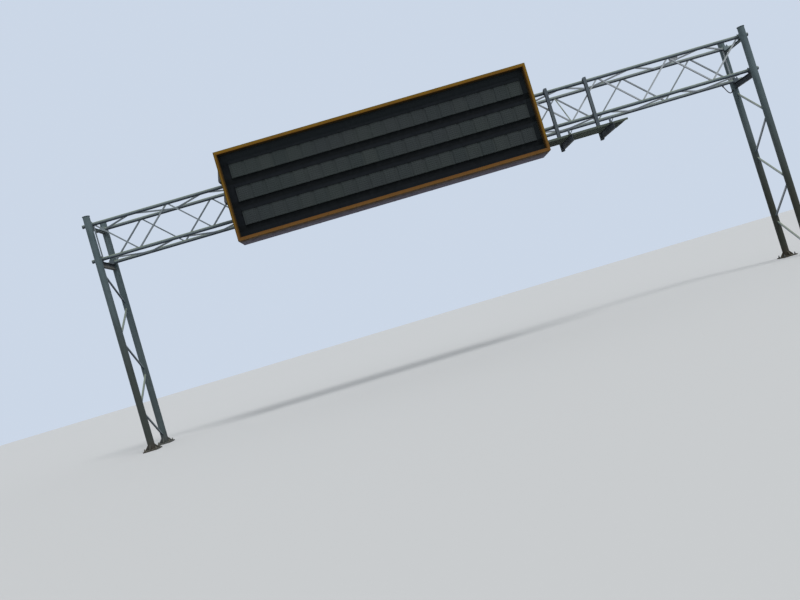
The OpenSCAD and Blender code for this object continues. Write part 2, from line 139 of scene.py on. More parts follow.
class Finish:
    """A procedural material on one Principled shader."""

    def __init__(self, name, colour, specular, metallic=0.0):
        self.material = bpy.data.materials.new(name)
        self.material.use_nodes = True
        self.tree = self.material.node_tree
        self.shader = self.tree.nodes["Principled BSDF"]
        self.colour = colour
        self.shader.inputs["Metallic"].default_value = metallic
        self.shader.inputs["Specular IOR Level"].default_value = specular
        self.place = self.node("ShaderNodeTexCoord").outputs["Object"]

    def node(self, kind, **inputs):
        made = self.tree.nodes.new(kind)
        for key, value in inputs.items():
            self.feed(made, key.replace("_", " "), value)
        return made

    def feed(self, node, key, value):
        socket = node.inputs[key]
        if isinstance(value, bpy.types.NodeSocket):
            self.tree.links.new(value, socket)
        else:
            socket.default_value = value

    def stretched(self, scale):
        return self.node("ShaderNodeMapping", Vector=self.place, Scale=scale).outputs["Vector"]

    def noise(self, scale, detail, stretch=(1, 1, 1), rough=0.55):
        made = self.node("ShaderNodeTexNoise", Vector=self.stretched(stretch), Scale=scale,
                         Detail=detail, Roughness=rough)
        return made.outputs["Fac"]

    def limits(self, value, low, high, to_low=0.0, to_high=1.0):
        """A soft step from one value to another, between two limits."""
        made = self.node("ShaderNodeMapRange", Value=value, From_Min=low, From_Max=high,
                         To_Min=to_low, To_Max=to_high)
        made.interpolation_type = "SMOOTHSTEP"
        return made.outputs["Result"]

    def clouds(self, scale, detail, low=0.0, high=1.0):
        """Soft clouds between two values."""
        return self.limits(self.noise(scale, detail), 0.3, 0.7, low, high)

    def runs(self, scale, stretch, low, high, share):
        """Marks of water that ran down, drawn out along the stretch."""
        return self.limits(self.noise(scale, 6, stretch, 0.65), low, high, 0.0, share)

    def math(self, operation, first, second=0.0):
        made = self.node("ShaderNodeMath")
        made.operation = operation
        self.feed(made, 0, first)
        self.feed(made, 1, second)
        return made.outputs["Value"]

    def times(self, first, second):
        return self.math("MULTIPLY", first, second)

    def rest(self, share):
        """What a share leaves of the whole."""
        return self.math("SUBTRACT", 1.0, share)

    def mix(self, share, first, second):
        made = self.node("ShaderNodeMix")
        made.data_type = "RGBA"
        self.feed(made, 0, share)
        self.feed(made, 6, first)
        self.feed(made, 7, second)
        return made.outputs[2]

    def cover(self, share, colour):
        """Lays a colour over the one so far, as far as the share says."""
        self.colour = self.mix(share, self.colour, colour)

    def facing(self, axis):
        """How far the surface looks along one axis, from -1 to 1."""
        normal = self.node("ShaderNodeNewGeometry").outputs["Normal"]
        return self.node("ShaderNodeSeparateXYZ", Vector=normal).outputs[axis]

    def along(self, axis):
        """The place along one axis of the model."""
        return self.node("ShaderNodeSeparateXYZ", Vector=self.place).outputs[axis]

    def past(self, axis, start):
        """How far past a start along one axis a place lies."""
        return self.math("SUBTRACT", self.along(axis), start)

    def inside(self, axis, low, high):
        """How far inside two limits along one axis a place lies."""
        return self.math("MINIMUM", self.past(axis, low),
                         self.math("SUBTRACT", high, self.along(axis)))

    def bump(self, value, distance, strength):
        made = self.node("ShaderNodeBump", Height=value, Distance=distance, Strength=strength)
        self.feed(self.shader, "Normal", made.outputs["Normal"])

    def finish(self, roughness):
        self.feed(self.shader, "Base Color", self.colour)
        self.feed(self.shader, "Roughness", roughness)
        return self.material


def galvanised(name, base, light, dark):
    """Galvanised steel gone dull, with cloudy tone, spangle, run marks and grime."""
    look = Finish(name, base, 0.2, metallic=0.12)
    cloud = look.limits(look.noise(1.3, 5), 0.32, 0.68)
    look.cover(cloud, light)
    spangle = look.node("ShaderNodeTexVoronoi", Vector=look.place, Scale=26.0)
    tone = look.node("ShaderNodeSeparateColor", Color=spangle.outputs["Color"]).outputs["Red"]
    look.cover(look.limits(tone, 0.0, 1.0, 0.0, 0.14), light)
    look.cover(look.runs(3.0, (7, 7, 0.35), 0.5, 0.74, 0.6), dark)
    grime = look.limits(look.noise(9.0, 8, rough=0.7), 0.55, 0.75, 0.0, 0.4)
    look.cover(grime, dark)
    return look


def weather(look, dark, top, under_shade, rust_share):
    """Dust and a painted highlight on top, painted shade on the underside, a little rust and a
    grained surface.
    """
    # Upward faces: dust, and a painted highlight where light falls from above
    upward = look.limits(look.facing("Z"), 0.05, 0.7, 0.0, 0.75)
    look.cover(upward, top)
    # Downward faces: painted shade
    under = look.limits(look.facing("Z"), -0.7, -0.02, under_shade, 0.0)
    look.cover(under, dark)
    spots = look.limits(look.noise(4.5, 9, (1, 1, 0.6), 0.75), 0.7 - rust_share, 0.86 - rust_share)
    foot = look.limits(look.along("Z"), 0.02, 0.5, 0.5, 0.0)
    rust = look.math("MAXIMUM", look.times(spots, 0.5), look.times(foot, look.noise(14.0, 6)))
    look.cover(rust, paint(88, 60, 42))
    look.bump(look.noise(55.0, 6, rough=0.7), 0.0012, 0.4)
    return look.finish(look.clouds(6.0, 5, 0.55, 0.8))


def post_steel():
    """The posts, with painted shade towards the road; the right ones most, the left far one least.
    """
    dark = paint(52, 59, 62)
    look = galvanised("post_steel", paint(78, 92, 96), paint(91, 105, 109), dark)
    # Painted shade: darker towards the ground, most on the right posts and least on the left far
    # one
    darkening = look.limits(look.along("Z"), 1.6, 6.4, 1.0, 0.0)
    left_share = look.limits(look.along("Y"), -0.3, 0.3, 0.82, 0.4)
    right = look.limits(look.along("X"), -9.0, 9.0)
    side = look.math("MAXIMUM", right, left_share)
    look.cover(look.times(darkening, side), paint(54, 57, 50))
    # Dust with a painted highlight on top, painted shade underneath
    return weather(look, dark, paint(112, 118, 108), 0.6, 0.05)


def truss_steel():
    """The chords, and their bars painted lighter, with painted light on the bars towards the right
    and painted shade under the chords.
    """
    dark = paint(52, 61, 72)
    look = galvanised("truss_steel", paint(94, 107, 115), paint(107, 118, 122), dark)
    near, high, radius = chord_line("near_top")
    _, low, _ = chord_line("near_bottom")
    far, _, _ = chord_line("far_top")
    edge = 0.02
    upright = look.limits(look.inside("Z", low + radius, high - radius), -edge, edge)
    across = look.limits(look.inside("Y", near + radius, far - radius), -edge, edge)
    # Painted light on the bars, stronger towards the right
    light_to_right = look.limits(look.along("X"), -8.0, 8.0, 0.3, 0.95)
    bars = look.times(look.math("MAXIMUM", upright, across), light_to_right)
    front = look.limits(look.along("Y"), near, far, 1.0, 0.0)
    bright = look.mix(front, paint(142, 149, 154), paint(164, 170, 175))
    look.cover(bars, bright)
    # Painted shade under the chords, the bars' undersides kept light; dust with a painted highlight
    # on top
    under = look.mix(bars, paint(40, 48, 60), paint(108, 116, 124))
    return weather(look, under, paint(120, 130, 108), 0.8, 0.05)


def beam_steel():
    """Hangers and brackets, with painted shade on the walkway and the lower beams, painted light on
    the left lower beams' lower half and a painted highlight along the walkway channel's top.
    """
    dark = paint(42, 47, 52)
    look = galvanised("beam_steel", paint(79, 88, 98), paint(91, 100, 105), dark)
    _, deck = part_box("walkway_channels")
    deck_low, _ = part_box("walkway_deck")
    hangers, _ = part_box("walkway_hangers")
    beam_low, beam_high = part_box("left_lower_beam")
    upper_low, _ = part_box("left_upper_beam")
    front = look.limits(look.facing("Y"), -0.9, -0.5, 1.0, 0.0)
    height = look.along("Z")
    walkway = look.times(look.limits(height, deck_low.z - 0.01, deck_low.z, 0.6, 0.95),
                         look.limits(height, deck.z, deck.z + 0.02, 1.0, 0.0))
    before = look.limits(look.along("Y"), hangers.y - 0.01, hangers.y, 1.0, 0.0)
    walkway = look.times(look.times(walkway, before), look.rest(front))
    outside = look.limits(look.math("ABSOLUTE", look.along("X")), 10.9, 11.0)
    beams = look.limits(look.inside("Z", beam_low.z, beam_high.z), -0.01, 0.0, 0.0, 0.7)
    # Painted shade on the walkway's arms and channels and on the lower beams
    painted_shade = look.math("MAXIMUM", walkway, look.times(outside, beams))
    look.cover(painted_shade, paint(28, 32, 35))
    # Painted light on the lower half of the left lower beams
    left = look.limits(look.along("X"), -10.9, -10.8, 0.85, 0.0)
    lower_half = look.limits(height, beam_low.z + 0.06, beam_low.z + 0.12, 1.0, 0.0)
    look.cover(look.times(left, lower_half), paint(110, 109, 102))
    upper = look.limits(height, upper_low.z - 0.02, upper_low.z, 0.0, 0.8)
    look.cover(look.times(outside, upper), paint(118, 132, 135))
    # Painted highlight along the top of the walkway's front channel
    channel_highlight = look.limits(look.inside("Z", deck.z - 0.08, deck.z), -0.01, 0.0, 0.0, 0.6)
    look.cover(look.times(channel_highlight, front), paint(76, 84, 58))
    # Painted shade beneath, and dust with a painted highlight on top
    return weather(look, paint(24, 28, 31), paint(112, 120, 92), 0.85, 0.08)


def amber_paint():
    """Amber paint, olive at the lip and browner inside, with painted shade on the side bars, in the
    recess and underneath.
    """
    low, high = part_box("face_border")
    look = Finish("border_paint", paint(124, 94, 26), 0.08)
    cloud = look.limits(look.noise(1.3, 5), 0.32, 0.68)
    look.cover(cloud, paint(112, 84, 28))
    from_side = look.inside("X", low.x, high.x)
    from_end = look.inside("Z", low.z, high.z)
    from_lip = look.math("MINIMUM", from_side, from_end)
    brown = look.limits(from_lip, 0.35 * BORDER_WIDTH, 0.95 * BORDER_WIDTH, 0.0, 0.7)
    look.cover(brown, paint(108, 72, 24))
    olive = look.limits(from_lip, 0.0, 0.3 * BORDER_WIDTH, 0.65, 0.0)
    look.cover(olive, paint(118, 106, 46))
    side_bars = look.limits(look.math("SUBTRACT", from_end, from_side), -0.004, 0.004)
    # Painted shade across the middle of the side bars' faces
    middle = look.limits(from_side, 0.55 * BORDER_WIDTH, 0.85 * BORDER_WIDTH, 0.0, 0.75)
    side_bar_shade = look.times(middle, side_bars)
    look.cover(side_bar_shade, paint(58, 40, 16))
    # Painted shade along the left bar's outer lip
    from_left = look.past("X", low.x)
    edge = look.limits(from_left, 0.15 * BORDER_WIDTH, 0.4 * BORDER_WIDTH, 0.65, 0.0)
    look.cover(look.times(edge, side_bars), paint(64, 50, 26))
    height = look.past("Z", low.z)
    baked = look.limits(height, BORDER_WIDTH, 6 * BORDER_WIDTH, 0.75, 0.0)
    look.cover(look.times(baked, look.rest(side_bar_shade)), paint(106, 72, 40))
    patches = look.limits(look.noise(3.1, 7, rough=0.65), 0.5, 0.72, 0.0, 0.5)
    look.cover(patches, paint(96, 70, 30))
    look.cover(look.runs(4.0, (6, 3, 0.3), 0.54, 0.76, 0.45), paint(70, 52, 28))
    side = look.limits(look.facing("Y"), -0.9, -0.5)
    outer = look.limits(from_lip, 0.2 * BORDER_WIDTH, 0.3 * BORDER_WIDTH, 0.65, 0.0)
    look.cover(look.times(side, outer), paint(94, 76, 36))
    # Painted shade on the inner returns, darker further into the recess
    recess = look.limits(from_lip, 0.5 * BORDER_WIDTH, 0.6 * BORDER_WIDTH)
    recess = look.times(side, recess)
    depth = look.limits(look.past("Y", low.y), 0.0, 0.2)
    inner = look.mix(depth, paint(84, 60, 28), paint(60, 50, 32))
    look.cover(recess, inner)
    # Painted shade on the undersides
    under = look.limits(look.facing("Z"), -0.9, -0.4, 0.95, 0.0)
    look.cover(look.times(under, look.rest(recess)), paint(70, 46, 12))
    chips = look.limits(look.noise(32.0, 9, rough=0.8), 0.7, 0.73)
    look.cover(chips, paint(70, 66, 56))
    look.bump(look.noise(40.0, 5), 0.001, 0.3)
    return look.finish(look.clouds(5.0, 5, 0.62, 0.82))


def sheet_metal():
    """Flat aluminium sheet with soft waves, run marks, a film of dirt and painted shade on the
    underside.
    """
    dark = paint(82, 80, 78)
    look = Finish("housing_sheet", paint(106, 106, 107), 0.08, metallic=0.05)
    look.cover(look.clouds(0.9, 4), paint(120, 120, 120))
    look.cover(look.runs(2.4, (6, 6, 0.25), 0.5, 0.75, 0.65), dark)
    darkening = look.limits(look.noise(11.0, 8, rough=0.7), 0.56, 0.78, 0.0, 0.45)
    look.cover(darkening, dark)
    dust = look.limits(look.facing("Z"), 0.5, 1.0, 0.0, 0.4)
    look.cover(dust, paint(134, 132, 118))
    low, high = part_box("housing_roof")
    # Painted shade on the underside, darkest towards the front
    depth = look.limits(look.along("Y"), 0.85 * low.y + 0.15 * high.y, 0.5 * (low.y + high.y))
    downward = look.limits(look.facing("Z"), -0.9, -0.4, 0.9, 0.0)
    look.cover(downward, look.mix(depth, paint(70, 62, 67), paint(98, 92, 108)))
    sheet = (high.x - low.x) / round((high.x - low.x) / SHEET_WIDTH)
    turns = look.math("DIVIDE", look.past("X", low.x), sheet)
    off = look.math("ABSOLUTE", look.math("SUBTRACT", turns, look.math("ROUND", turns)))
    sealed = look.limits(off, 0.003, 0.006, 0.8, 0.0)
    on_top = look.times(look.limits(look.facing("Z"), 0.8, 0.95),
                        look.limits(look.inside("X", low.x, high.x), 0.1, 0.11))
    look.cover(look.times(sealed, on_top), paint(58, 58, 56))
    waves = look.times(look.noise(1.6, 2), 4.0)
    grit = look.times(look.noise(70.0, 4), 0.25)
    look.bump(look.math("ADD", waves, grit), 0.0018, 0.35)
    return look.finish(look.clouds(5.0, 4, 0.6, 0.82))


def module_plastic():
    """Dark lens plastic; each module has aged to its own shade, and the sides facing along the row
    carry painted light.
    """
    low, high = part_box("display_row_top")
    pitch = (high.x - low.x) / MODULE_COUNT
    row_pitch = 1.6 * pitch
    look = Finish("module_grey", paint(46, 53, 53), 0.15)
    column = look.math("FLOOR", look.math("DIVIDE", look.past("X", low.x), pitch))
    row = look.math("FLOOR", look.math("DIVIDE", look.along("Z"), row_pitch))
    seed = look.node("ShaderNodeCombineXYZ", X=column, Z=row).outputs["Vector"]
    shade = look.node("ShaderNodeTexWhiteNoise", Vector=seed)
    look.cover(shade.outputs["Value"], paint(52, 58, 57))
    film = look.limits(look.noise(0.7, 5), 0.35, 0.65, 0.0, 0.5)
    look.cover(film, paint(48, 52, 55))
    look.cover(look.runs(5.0, (6, 6, 0.3), 0.55, 0.75, 0.3), paint(38, 43, 44))
    # Painted light on the sides facing along the row, where the gaps between modules fall in shade
    sideways = look.math("ABSOLUTE", look.facing("X"))
    look.cover(look.limits(sideways, 0.5, 0.9, 0.0, 0.85), paint(84, 92, 92))
    look.bump(look.noise(90.0, 3), 0.0006, 0.25)
    return look.finish(look.clouds(9.0, 4, 0.55, 0.72))


def dull_black(name, base, bloomed, streaked, share, specular):
    """A black surface with a dusty bloom, run marks and a fine grain."""
    look = Finish(name, base, specular)
    look.cover(look.limits(look.noise(1.7, 6, (1, 1, 0.6)), 0.35, 0.75), bloomed)
    look.cover(look.runs(3.0, (8, 8, 0.25), 0.55, 0.75, share), streaked)
    look.bump(look.noise(60.0, 4), 0.0008, 0.3)
    return look


def face_paint():
    """Black paint on the face, with painted light along its top and right and painted shade under
    each row.
    """
    _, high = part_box("face_panel")
    look = dull_black("face_black", paint(18, 22, 26), paint(22, 26, 30), paint(26, 31, 34),
                      0.4, 0.1)
    # Painted light along the top and right, where the border's recess shades the face
    painted_light_top = look.limits(look.along("Z"), high.z - 0.5, high.z - 0.15)
    painted_light_right = look.limits(look.along("X"), high.x - 0.4, high.x - 0.1)
    painted_light = look.math("MAXIMUM", painted_light_top, painted_light_right)
    look.cover(painted_light, paint(39, 45, 48))
    # Painted shade under each row
    shade_height, shade_fade = 0.19, 0.03
    for row in ROWS:
        row_low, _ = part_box("display_row_" + row)
        below = look.inside("Z", row_low.z - shade_height, row_low.z + shade_fade)
        painted_shade = look.limits(below, 0.0, shade_fade, 0.0, 0.8)
        look.cover(painted_shade, paint(10, 14, 15))
    return look.finish(look.clouds(7.0, 4, 0.6, 0.8))


def conduit_plastic():
    """Rubber and plastic with a dusty bloom."""
    light = paint(70, 70, 66)
    look = dull_black("conduit_grey", paint(52, 53, 52), light, light, 0.5, 0.2)
    return look.finish(look.clouds(7.0, 4, 0.5, 0.72))


def make_finishes():
    """Every material by the name of the record's slot that it dresses."""
    return {
        "post_steel": post_steel(),
        "truss_steel": truss_steel(),
        "beam_steel": beam_steel(),
        "housing_sheet": sheet_metal(),
        "border_paint": amber_paint(),
        "face_black": face_paint(),
        "module_grey": module_plastic(),
        "conduit_grey": conduit_plastic(),
    }


class Parts:
    """Collects small solids and turns them into one mesh."""

    def __init__(self):
        self.points = []
        self.faces = []

    def add(self, points, faces):
        first = len(self.points)
        self.points.extend(points)
        self.faces.extend(tuple(first + i for i in face) for face in faces)

    def box(self, low, high):
        points = [(x, y, z) for x in (low[0], high[0]) for y in (low[1], high[1])
                  for z in (low[2], high[2])]
        faces = [(0, 1, 3, 2), (4, 6, 7, 5), (0, 4, 5, 1), (2, 3, 7, 6), (0, 2, 6, 4), (1, 5, 7, 3)]
        self.add(points, faces)

    def rings(self, rings, around=False):
        """A skin over rings of points, with caps at both ends or closed into a loop."""
        sides = len(rings[0])
        points = [point for ring in rings for point in ring]
        faces = []
        for r in range(len(rings) if around else len(rings) - 1):
            here, there = r * sides, (r + 1) % len(rings) * sides
            for k in range(sides):
                beside = (k + 1) % sides
                faces.append((here + k, here + beside, there + beside, there + k))
        if not around:
            faces.append(tuple(reversed(range(sides))))
            faces.append(tuple(range((len(rings) - 1) * sides, len(rings) * sides)))
        self.add(points, faces)

    def turned(self, place, axis, profile, sides):
        """A solid turned round an axis; profile holds (distance along it, radius)."""
        self.rings([circle(place, axis, radius, sides, along) for along, radius in profile])

    def tube(self, path, radius, sides):
        """A round bar along a path of points; radius may be one value or one for each point."""
        path = [Vector(point) for point in path]
        radii = radius if isinstance(radius, list) else [radius] * len(path)
        rings = []
        side = None
        for i, point in enumerate(path):
            way = (path[min(i + 1, len(path) - 1)] - path[max(i - 1, 0)]).normalized()
            if side is None:
                side = way.orthogonal().normalized()
            side = (side - way * side.dot(way)).normalized()
            rings.append(round_ring(point, side, way.cross(side), radii[i], sides))
        self.rings(rings)

    def loop(self, corners, radius):
        """Straight round bars from corner to corner of a closed outline."""
        for i, corner in enumerate(corners):
            self.tube([corner, corners[(i + 1) % len(corners)]], radius, 8)

    def bead(self, path, normal, radius=WELD_RADIUS):
        """A closed weld bead along a ring of points, a little uneven as welds are."""
        rings = []
        for i, point in enumerate(path):
            way = (path[(i + 1) % len(path)] - path[i - 1]).normalized()
            side = (normal - way * normal.dot(way)).normalized()
            swell = radius * (1 + 0.12 * math.sin(2.4 * i))
            rings.append(round_ring(point, side, way.cross(side), swell, WELD_SIDES))
        self.rings(rings, around=True)

    def nut(self, place, axis, radius=NUT_RADIUS, height=NUT_HEIGHT):
        """A hexagon with its corners taken off at both ends."""
        chamfer = 0.12 * height
        profile = [(0, radius * 0.9), (chamfer, radius), (height - chamfer, radius),
                   (height, radius * 0.9)]
        self.turned(place, axis, profile, 6)

    def stud(self, place, axis, length, radius=STUD_RADIUS):
        """A round bar with its end chamfered."""
        self.turned(place, axis, [(0, radius), (length - 0.3 * radius, radius),
                                  (length, 0.7 * radius)], 12)

    def rivet(self, place, axis, radius):
        """A low domed head."""
        profile = [(-0.001, radius), (0.2 * radius, radius), (0.55 * radius, 0.7 * radius),
                   (0.68 * radius, 0.25 * radius)]
        self.turned(place, axis, profile, 8)

    def piece(self, name, finishes, slot):
        """One new piece of the scene that rides on the model's body."""
        mesh = bpy.data.meshes.new(name)
        mesh.from_pydata(self.points, [], self.faces)
        round_shading(mesh)
        mesh.materials.append(finishes[slot])
        made = bpy.data.objects.new(name, mesh)
        bpy.context.scene.collection.objects.link(made)
        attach(made, "root")
        return made


def round_shading(mesh):
    """Smooth shading that keeps the sharp edges."""
    mesh.polygons.foreach_set("use_smooth", [True] * len(mesh.polygons))
    mesh.set_sharp_from_angle(angle=SMOOTH_ANGLE)


def round_ring(middle, side, other, radius, sides):
    """One ring of points round a place, on two directions across the tube."""
    ring = []
    for k in range(sides):
        angle = 2 * math.pi * k / sides
        ring.append(middle + radius * (math.cos(angle) * side + math.sin(angle) * other))
    return ring


def circle(middle, axis, radius, sides, along=0.0):
    """Points round a circle, some way along its axis from the middle."""
    turn = Vector(axis).to_track_quat("Z", "Y").to_matrix()
    points = []
    for k in range(sides):
        angle = 2 * math.pi * k / sides
        point = Vector((radius * math.cos(angle), radius * math.sin(angle), along))
        points.append(Vector(middle) + turn @ point)
    return points


def spread(low, high, pitch):
    """Places from low to high at about one pitch, both ends included."""
    steps = max(1, round((high - low) / pitch))
    return [low + (high - low) * n / steps for n in range(steps + 1)]


def smooth_nodes(frame, finishes):
    """Gives every node of the model its finish and rounds its shading."""
    slots = {part["node"]: part["material_slot"] for part in frame["record"]["subparts"]}
    for name, node in frame["nodes"].items():
        mesh = node.data
        mesh.materials.clear()
        mesh.materials.append(finishes[slots[name]])
        round_shading(mesh)


def chord_line(name):
    """The middle of one chord in depth and height, and its radius."""
    low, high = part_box(name + "_chord")
    return (low.y + high.y) / 2, (low.z + high.z) / 2, (high.z - low.z) / 2


def post_line(corner):
    """The middle of one post, its radius and its top."""
    low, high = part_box(corner + "_post")
    return Vector(((low.x + high.x) / 2, (low.y + high.y) / 2, low.z)), (high.x - low.x) / 2, high.z


def panel_x(n):
    """Where the truss's panel point n lies along X."""
    return (n - PANEL_COUNT / 2) * PANEL_LENGTH


def hanger_places(frame):
    """The middle of each hanger along X, read from the hangers' own corners."""
    gap = 0.3
    places = set()
    for part in ("sign_hangers", "walkway_hangers"):
        xs = sorted({round(v.co.x, 3) for v in frame["nodes"][part].data.vertices})
        firsts = [x for before, x in zip([-math.inf, *xs], xs) if x - before > gap]
        lasts = [x for x, after in zip(xs, [*xs[1:], math.inf]) if after - x > gap]
        places.update(round((first + last) / 2, 4) for first, last in zip(firsts, lasts))
    return sorted(places)


def outline_points(corners, steps=4):
    """Points round a closed outline, with some steps along each of its sides."""
    points = []
    for i, (ax, ay) in enumerate(corners):
        bx, by = corners[(i + 1) % len(corners)]
        for n in range(steps):
            points.append((ax + (bx - ax) * n / steps, ay + (by - ay) * n / steps))
    return points


def square_outline(side):
    """The outline of a square bar."""
    half = side / 2
    return outline_points([(-half, -half), (half, -half), (half, half), (-half, half)])


def leave_tube(point, way, middle, axis, radius):
    """Where a line that starts inside a round tube comes out of it."""
    off = point - middle
    off = off - axis * off.dot(axis)
    run = way - axis * way.dot(axis)
    a, b, c = run.dot(run), off.dot(run), off.dot(off) - radius * radius
    return point + way * ((-b + math.sqrt(b * b - a * c)) / a)


def coped_welds(parts, outline, first, second, axis, radius):
    """A bead at each end of a bar, where it leaves the tube whose middle line holds that end."""
    for start, finish in ((first, second), (second, first)):
        way = (finish - start).normalized()
        level = Vector((-way.y, way.x, 0))
        across = level.normalized() if level.length > 1e-6 else Vector((0, 1, 0))
        upright = across.cross(way)
        path = [leave_tube(start + upright * a + across * b, way, start, axis, radius)
                for a, b in outline]
        parts.bead(path, way)


def truss_bars():
    """Start, finish and side of every bar of the truss."""
    lines = {name: chord_line(name) for name in CHORDS}

    def at(n, name):
        y, z, _ = lines[name]
        return Vector((panel_x(n), y, z))

    bars = []
    for n in range(PANEL_COUNT):
        even = n % 2 == 0
        for first, second in (
            ("near_top", "near_bottom"),
            ("far_bottom", "far_top"),
            ("far_top", "near_top"),
            ("near_bottom", "far_bottom"),
        ):
            a, b = (first, second) if even else (second, first)
            bars.append((at(n, a), at(n + 1, b), WEB_BAR))
    for n in range(FIRST_BRACE, LAST_BRACE + 1, 2):
        bars.append((at(n, "far_top"), at(n, "near_bottom"), BRACE_BAR))
    bars.append((at(0, "near_bottom"), at(0, "near_top"), UPRIGHT_BAR))
    bars.append((at(PANEL_COUNT, "far_bottom"), at(PANEL_COUNT, "far_top"), UPRIGHT_BAR))
    return bars


def tower_bars(end, first):
    """Start and finish of the diagonals of one tower, on the posts' middle lines."""
    near, radius, _ = post_line(end + "_near")
    far, _, _ = post_line(end + "_far")
    low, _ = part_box(end + "_lower_beam")
    reach = (far.y - near.y) / 2 - radius
    bars = []
    for n in range(TOWER_BAR_COUNT):
        starts_near = (n % 2 == 0) == (first == "near")
        begin, end_post = (near, far) if starts_near else (far, near)
        upper = low.z - TOWER_DROP - n * TOWER_PITCH
        lower = max(TOWER_LOWEST, upper - TOWER_PITCH + TOWER_GAP)
        rise = (upper - lower) / (2 * reach) * radius
        bars.append((Vector((begin.x, begin.y, upper + rise)),
                     Vector((end_post.x, end_post.y, lower - rise))))
    return bars


def truss_welds(parts):
    """A bead at both ends of every bar of the truss."""
    _, _, radius = chord_line("near_top")
    for start, finish, side in truss_bars():
        coped_welds(parts, square_outline(side), start, finish, ALONG, radius)


def tower_welds(parts):
    """Beads round the posts' feet and tops, at the diagonals, the beams and the stiffeners."""
    stiffener_reach, stiffener_height = 0.225, 0.15
    for corner in CORNERS:
        middle, radius, top = post_line(corner)
        for level in (BASE_PLATE, top):
            parts.bead(circle((middle.x, middle.y, level), UP, radius, BEAD_STEPS), UP)
        for turn in range(4):
            angle = turn * math.pi / 2
            out = Vector((math.cos(angle), math.sin(angle), 0))
            side = Vector((-out.y, out.x, 0)) * PLATE / 2
            for way in (-1, 1):
                foot = Vector((middle.x, middle.y, BASE_PLATE)) + out * radius + side * way
                outer = foot + out * (stiffener_reach - radius)
                upper = foot + UP * stiffener_height
                parts.tube([upper, foot, outer], WELD_RADIUS, WELD_SIDES)
    square = square_outline(TOWER_BAR)
    for end, first in (("left", "near"), ("right", "far")):
        _, radius, _ = post_line(end + "_near")
        for start, finish in tower_bars(end, first):
            coped_welds(parts, square, start, finish, UP, radius)
        for beam in ("_lower_beam", "_upper_beam"):
            beam_welds(parts, end, beam, radius)


def beam_welds(parts, end, beam, radius):
    """A bead round the I section of one beam at both posts."""
    low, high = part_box(end + beam)
    half_width, half_depth = (high.x - low.x) / 2, (high.z - low.z) / 2
    web, inner = BEAM_WEB / 2, half_depth - BEAM_FLANGE
    outline = outline_points([
        (half_depth, -half_width), (half_depth, half_width), (inner, half_width),
        (inner, web), (-inner, web), (-inner, half_width), (-half_depth, half_width),
        (-half_depth, -half_width), (-inner, -half_width), (-inner, -web),
        (inner, -web), (inner, -half_width),
    ], 3)
    level = (low.z + high.z) / 2
    near, _, _ = post_line(end + "_near")
    far, _, _ = post_line(end + "_far")
    start = Vector((near.x, near.y, level))
    finish = Vector((far.x, far.y, level))
    coped_welds(parts, outline, start, finish, UP, radius)


def cap_welds(parts):
    """A ring bead where each end cap closes its chord."""
    for name in CHORDS:
        low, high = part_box(name + "_chord")
        y, z, radius = chord_line(name)
        for x in (low.x, high.x):
            parts.bead(circle((x, y, z), ALONG, radius, BEAD_STEPS), ALONG, 0.8 * WELD_RADIUS)


def anchor_bolts(parts):
    """A washer, a nut and a stud in each anchor hole."""
    stud_height, washer_radius = 0.075, 0.036
    for corner in CORNERS:
        low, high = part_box(corner + "_base")
        middle = (low + high) / 2
        for x in (-ANCHOR_OFFSET, ANCHOR_OFFSET):
            for y in (-ANCHOR_OFFSET, ANCHOR_OFFSET):
                foot = (middle.x + x, middle.y + y, BASE_PLATE)
                parts.turned(foot, UP, [(0, washer_radius), (WASHER_HEIGHT, washer_radius)], 20)
                nut_foot = (foot[0], foot[1], BASE_PLATE + WASHER_HEIGHT)
                parts.nut(nut_foot, UP, ANCHOR_NUT_RADIUS, ANCHOR_NUT_HEIGHT)
                parts.stud(foot, UP, stud_height, ANCHOR_RADIUS)


def saddle_bolts(parts):
    """Nuts on studs beside each chord on its saddle block, and flat straps over the block."""
    inset, side_gap = 0.03, 0.065
    washer_radius, washer_height = 0.021, 0.004
    stud_length, sunk = 0.038, 0.001
    strap_length, strap_width, strap_height, cross_height = 0.12, 0.024, 0.005, 0.003
    for end in ("left", "right"):
        low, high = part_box(end + "_chord_saddles")
        middle = (low.x + high.x) / 2
        for name in CHORDS:
            y, z, _ = chord_line(name)
            top = z + SADDLE_COVER
            for x in (low.x + inset, high.x - inset):
                for across in (-side_gap, side_gap):
                    foot = (x, y + across, top)
                    parts.turned(foot, UP, [(0, washer_radius), (washer_height, washer_radius)], 16)
                    parts.nut((x, y + across, top + washer_height), UP)
                    parts.stud(foot, UP, stud_length)
                parts.box((x - strap_width / 2, y - strap_length / 2, top - sunk),
                          (x + strap_width / 2, y + strap_length / 2, top + cross_height))
            parts.box((middle - strap_length / 2, y - strap_width / 2, top - sunk),
                      (middle + strap_length / 2, y + strap_width / 2, top + strap_height))


def chord_u_bolts(parts, hangers):
    """Two U bolts round each near chord at every hanger, their nuts on its flange."""
    _, hanger_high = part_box("walkway_hangers")
    flange_front = hanger_high.y - FLANGE
    spacing, clearance, rod, tail = 0.033, 0.009, 0.008, 0.035
    nut_radius, nut_height = 0.015, 0.014
    steps = 12
    for chord in ("near_top", "near_bottom"):
        y, z, radius = chord_line(chord)
        loop = radius + clearance
        for x in hangers:
            for offset in (-spacing, spacing):
                path = [(x + offset, flange_front - tail, z + loop)]
                for n in range(steps + 1):
                    angle = math.pi / 2 - math.pi * n / steps
                    path.append((x + offset, y + loop * math.cos(angle),
                                 z + loop * math.sin(angle)))
                path.append((x + offset, flange_front - tail, z - loop))
                parts.tube(path, rod, 8)
                for level in (z + loop, z - loop):
                    parts.nut((x + offset, flange_front, level), TO_TRAFFIC, nut_radius, nut_height)


